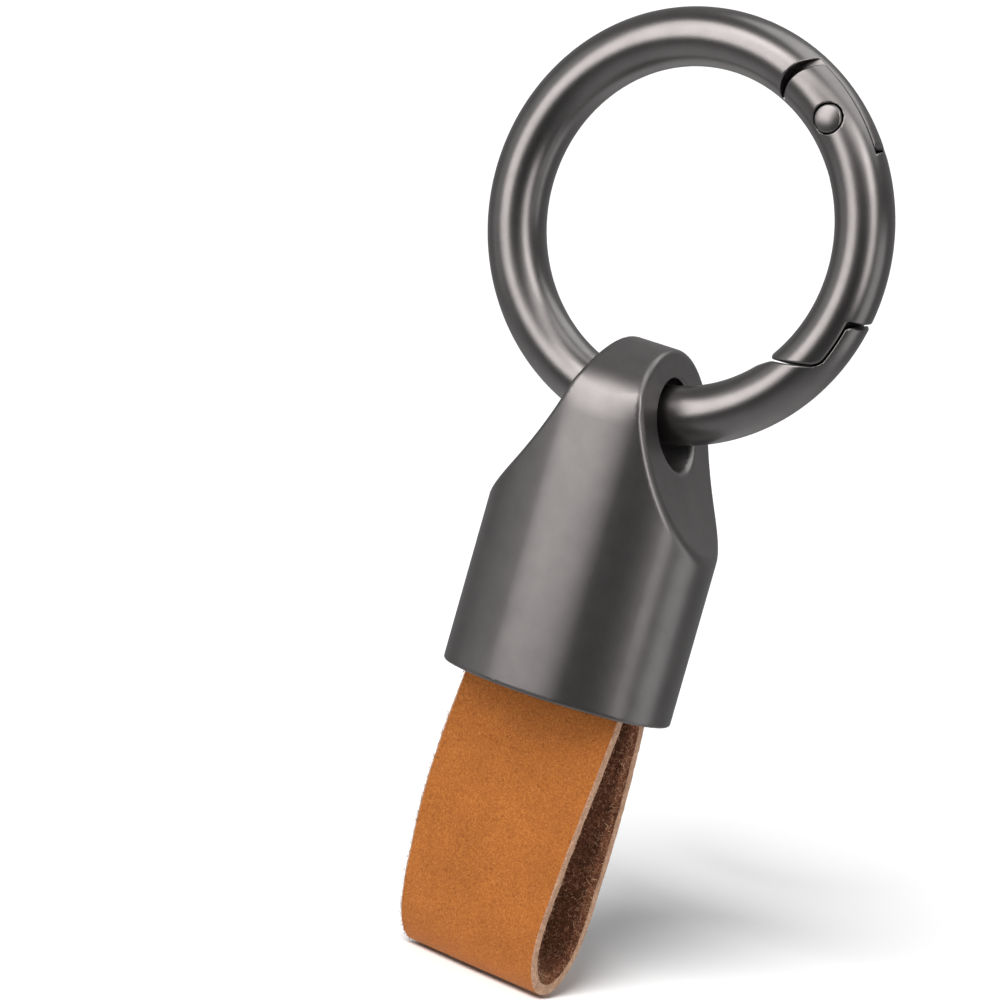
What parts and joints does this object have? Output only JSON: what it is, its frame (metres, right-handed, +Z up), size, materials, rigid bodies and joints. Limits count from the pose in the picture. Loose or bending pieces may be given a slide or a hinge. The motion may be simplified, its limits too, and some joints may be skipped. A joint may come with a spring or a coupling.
{
  "type": "key fob with spring-gate ring",
  "caption": "Round spring-gate ring linked through the eye of a faceted metal cap that clamps a folded leather strap loop.",
  "frame": {"origin": "centre of the ring, on the ring's own axis", "axes": "+Z up from the strap towards the ring, +Y along the ring's axis towards the back of the cap, +X across the strap towards the gate"},
  "size_m": [0.0344, 0.014, 0.0784],
  "materials": {
    "gunmetal": "satin gunmetal plating on die-cast zinc",
    "steel": "plain steel",
    "leather": "tan nubuck outside, dark brown suede inside, raw cut edges"
  },
  "bodies": {
    "ring": {"ring_frame": "gunmetal"},
    "gate": {"ring_gate": "gunmetal", "hinge_rivet": "gunmetal", "gate_spring": "steel"},
    "plunger": {"spring_plunger": "steel"},
    "fob": {"cap": "gunmetal", "strap": "leather", "clamp_plate": "steel", "grub_screw_left": "steel", "grub_screw_right": "steel"}
  },
  "joints": [
    {"name": "gate_swing", "type": "hinge", "parent": "ring", "child": "gate", "pos_m": [0.00974, 0, 0.01121], "axis": [0, 1, 0], "range_deg": [0, 24], "stiffness_Nm_per_rad": 0.01, "springref_deg": -11.46, "deforming": ["gate_spring"]},
    {"name": "plunger_slide", "type": "slide", "parent": "gate", "child": "plunger", "axis": [0.5299, 0, -0.848], "range_m": [0, 0.00041]},
    {"name": "fob_swing", "type": "hinge", "parent": "ring", "child": "fob", "pos_m": [0, 0, -0.0152], "axis": [1, 0, 0], "range_deg": [-95, 95]}
  ],
  "couplings": [
    {"joint": "plunger_slide", "follows": "gate_swing", "m_per_rad": 0.00095}
  ]
}
